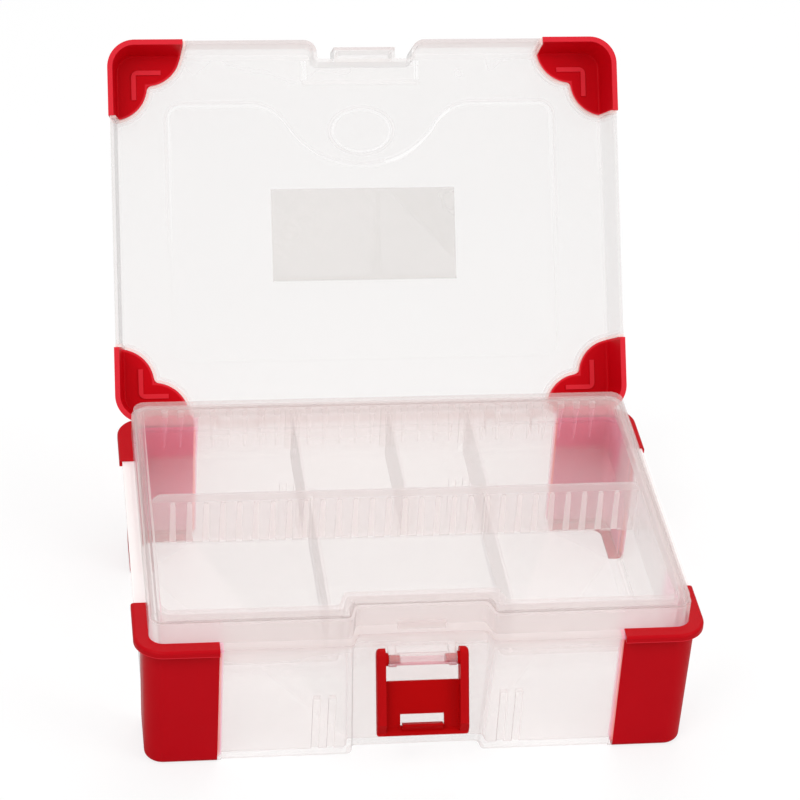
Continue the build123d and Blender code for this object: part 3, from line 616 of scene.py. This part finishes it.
def milky_plastic(name, haze, edge_haze, dark, light, more_haze=None, casts=None):
    """See-through plastic: clear face on, milkier along its edges and where it is thick."""
    material, tree, out = fresh_tree(name)
    flow = noise(tree, scale=22.0, detail=3.0)
    normal = ripple(tree, noise(tree, scale=28.0, detail=1.0), distance=0.0004, strength=0.15)
    colour = tones(tree, flow, dark, light)
    for mask, strength, other in casts(tree) if casts else ():
        colour = tint(tree, maths(tree, "MULTIPLY", mask, strength), colour, other)
    slant = tree.nodes.new("ShaderNodeLayerWeight")
    slant.inputs["Blend"].default_value = 0.5
    edge = maths(tree, "POWER", slant.outputs["Facing"], EDGE_FALLOFF)
    even_share = spread(tree, flow, *[haze * part for part in HAZE_SPREAD])
    share = maths(tree, "ADD", even_share, maths(tree, "MULTIPLY", edge, edge_haze))
    if more_haze:
        share = maths(tree, "ADD", share, more_haze(tree))
    clear = coloured(tree, "ShaderNodeBsdfTransparent", PASSING_LIGHT)
    body = blend(tree, share, clear.outputs[0], milk(tree, colour, normal))
    shine = tree.nodes.new("ShaderNodeBsdfGlossy")
    tree.links.new(spread(tree, flow, *CLEAR_ROUGHNESS), shine.inputs["Roughness"])
    tree.links.new(normal, shine.inputs["Normal"])
    surface = blend(tree, outer_gloss(tree), body, shine.outputs[0])
    # Light that a milky wall scatters still gets through, so lamps reach what is inside
    lamp_light = coloured(tree, "ShaderNodeBsdfTransparent", PASSING_LAMP_LIGHT)
    path = tree.nodes.new("ShaderNodeLightPath")
    lit = blend(tree, path.outputs["Is Shadow Ray"], surface, lamp_light.outputs[0])
    tree.links.new(lit, out.inputs["Surface"])
    return material


def red_plastic(name, dark, light, shine, bright_places):
    """Saturated moulded plastic that lets a little light through."""
    material, tree, out = fresh_tree(name)
    flow = noise(tree, scale=30.0, detail=4.0)
    colour = tint(tree, bright_places(tree), tones(tree, flow, dark, light), BRIGHT_RED)
    normal = ripple(tree, noise(tree, scale=900.0, detail=2.0), distance=0.00004, strength=0.3)
    front = tree.nodes.new("ShaderNodeBsdfPrincipled")
    front.inputs["IOR"].default_value = RED_IOR
    front.inputs["Specular IOR Level"].default_value = shine
    tree.links.new(spread(tree, flow, *RED_ROUGHNESS), front.inputs["Roughness"])
    behind = tree.nodes.new("ShaderNodeBsdfTranslucent")
    tree.links.new(colour, front.inputs["Base Color"])
    tree.links.new(colour, behind.inputs["Color"])
    tree.links.new(normal, front.inputs["Normal"])
    tree.links.new(normal, behind.inputs["Normal"])
    surface = blend(tree, RED_FROM_BEHIND, front.outputs[0], behind.outputs[0])
    tree.links.new(surface, out.inputs["Surface"])
    return material


# Camera, at the photograph's viewing angle

def add_camera():
    camera_data = bpy.data.cameras.new("camera")
    camera_data.sensor_width = SENSOR_WIDTH
    camera_data.lens = LENS
    camera_data.clip_end = CLIP_END
    camera = bpy.data.objects.new("camera", camera_data)
    axes = (Vector(CAMERA_RIGHT), -Vector(CAMERA_DOWN), -Vector(CAMERA_LOOK))
    turn = Matrix(axes).transposed().to_4x4()
    camera.matrix_world = Matrix.Translation(CAMERA_PLACE) @ turn
    scene.collection.objects.link(camera)
    scene.camera = camera


# Light, floor and backdrop

def add_world():
    """White surroundings that look brighter than the light they give."""
    world = bpy.data.worlds.new("studio")
    world.use_nodes = True
    tree = world.node_tree
    tree.nodes.clear()
    out = tree.nodes.new("ShaderNodeOutputWorld")
    background = coloured(tree, "ShaderNodeBackground", WHITE_LIGHT)
    path = tree.nodes.new("ShaderNodeLightPath")
    rays = ("Is Camera Ray", "Is Glossy Ray", "Is Transmission Ray")
    seen = either(tree, *[path.outputs[ray] for ray in rays])
    strength = spread(tree, seen, SKY_LIGHT, SKY_SEEN)
    tree.links.new(strength, background.inputs["Strength"])
    tree.links.new(background.outputs[0], out.inputs["Surface"])
    scene.world = world


def add_lamp(name, place, aim, size, power):
    light = bpy.data.lights.new(name, "AREA")
    light.shape = "DISK"
    light.size = size
    light.energy = power
    lamp = bpy.data.objects.new(name, light)
    lamp.location = place
    direction = Vector(aim) - Vector(place)
    lamp.rotation_euler = direction.to_track_quat("-Z", "Y").to_euler()
    scene.collection.objects.link(lamp)


def add_floor():
    """Floor that looks near white with its shadows left in, and that throws back less light."""
    mesh = bpy.data.meshes.new("floor")
    far = FLOOR_REACH
    corners = [(-far, -far, 0), (far, -far, 0), (far, far, 0), (-far, far, 0)]
    mesh.from_pydata(corners, [], [(0, 1, 2, 3)])
    floor = bpy.data.objects.new("floor", mesh)
    scene.collection.objects.link(floor)
    material, tree, out = fresh_tree("floor_white")
    bounce = coloured(tree, "ShaderNodeBsdfDiffuse", FLOOR_BOUNCE)
    shaded = coloured(tree, "ShaderNodeBsdfDiffuse", FLOOR_SEEN)
    glow = coloured(tree, "ShaderNodeEmission", WHITE_LIGHT)
    backdrop = blend(tree, FLOOR_GLOW, shaded.outputs[0], glow.outputs[0])
    path = tree.nodes.new("ShaderNodeLightPath")
    seen = either(tree, path.outputs["Is Camera Ray"], path.outputs["Is Transmission Ray"])
    tree.links.new(blend(tree, seen, bounce.outputs[0], backdrop), out.inputs["Surface"])
    mesh.materials.append(material)


# Edges

def smooth_by_angle():
    """Geometry nodes that shade smooth across all edges but the sharp ones."""
    group = bpy.data.node_groups.new("smooth_by_angle", "GeometryNodeTree")
    for way in ("INPUT", "OUTPUT"):
        group.interface.new_socket("Geometry", in_out=way, socket_type="NodeSocketGeometry")
    enter = group.nodes.new("NodeGroupInput")
    leave = group.nodes.new("NodeGroupOutput")
    faces = group.nodes.new("GeometryNodeSetShadeSmooth")
    faces.domain = "FACE"
    edges = group.nodes.new("GeometryNodeSetShadeSmooth")
    edges.domain = "EDGE"
    angle = group.nodes.new("GeometryNodeInputMeshEdgeAngle")
    limit = group.nodes.new("FunctionNodeCompare")
    limit.data_type = "FLOAT"
    limit.operation = "LESS_THAN"
    limit.inputs[1].default_value = SMOOTH_ANGLE
    group.links.new(enter.outputs[0], faces.inputs["Geometry"])
    group.links.new(faces.outputs[0], edges.inputs["Geometry"])
    group.links.new(angle.outputs["Unsigned Angle"], limit.inputs[0])
    group.links.new(limit.outputs[0], edges.inputs["Shade Smooth"])
    group.links.new(edges.outputs[0], leave.inputs[0])
    return group


def soften(solid, width, group):
    rounding = solid.modifiers.new("edge_round", "BEVEL")
    rounding.width = width
    rounding.segments = 2
    rounding.limit_method = "ANGLE"
    rounding.angle_limit = ROUND_ANGLE
    shade = solid.modifiers.new("shade", "NODES")
    shade.node_group = group


def dress(names, material):
    for name in names:
        mesh = nodes[name].data
        mesh.materials.clear()
        mesh.materials.append(material)


add_camera()
add_world()
add_lamp("key", place=(-0.7, -0.9, 1.4), aim=(0, 0, 0.05), size=0.9, power=10.0)
add_lamp("fill", place=(0.9, -0.6, 0.9), aim=(0, 0, 0.05), size=0.8, power=4.5)
add_lamp("back", place=(0.2, 0.9, 1.2), aim=(0, 0.1, 0.1), size=0.8, power=4.5)
add_floor()

lid_clear = milky_plastic(
    "lid_plastic",
    haze=0.15,
    edge_haze=0.35,
    dark=LID_SHADE,
    light=WHITE_MILK,
    more_haze=lid_haze,
    casts=lid_casts,
)
bin_clear = milky_plastic(
    "bin_plastic",
    haze=0.18,
    edge_haze=0.32,
    dark=ROSY_SHADE,
    light=ROSY_MILK,
    more_haze=bin_haze,
    casts=bin_casts,
)
tray_clear = milky_plastic(
    "tray_plastic",
    haze=0.13,
    edge_haze=0.3,
    dark=ROSY_SHADE,
    light=ROSY_MILK,
    more_haze=tray_haze,
    casts=tray_casts,
)
divider_clear = milky_plastic(
    "divider_plastic", haze=0.05, edge_haze=0.09, dark=DIVIDER_SHADE, light=ROSY_MILK
)
label_film = milky_plastic(
    "blank_label", haze=0.34, edge_haze=0.2, dark=LABEL_SHADE, light=LABEL_LIGHT
)
base_red = red_plastic(
    "base_red",
    dark=BASE_RED_DARK,
    light=BASE_RED_LIGHT,
    shine=0.08,
    bright_places=base_cap_light,
)
lid_red = red_plastic(
    "lid_red",
    dark=LID_RED_DARK,
    light=LID_RED_LIGHT,
    shine=0.05,
    bright_places=lid_cap_light,
)
latch_red = red_plastic(
    "latch_red",
    dark=LATCH_RED_DARK,
    light=LATCH_RED_LIGHT,
    shine=0.05,
    bright_places=latch_light,
)

dress(["lid_shell"], lid_clear)
dress(["base_bin"], bin_clear)
dress(["tray"], tray_clear)
dress(DIVIDERS, divider_clear)
dress(["blank_label"], label_film)
dress(BASE_CAPS, base_red)
dress(LID_CAPS, lid_red)
dress(["latch"], latch_red)

shade_group = smooth_by_angle()
for name, solid in nodes.items():
    width = RED_EDGE_ROUND if name in RED_NODES else CLEAR_EDGE_ROUND
    soften(solid, width, shade_group)
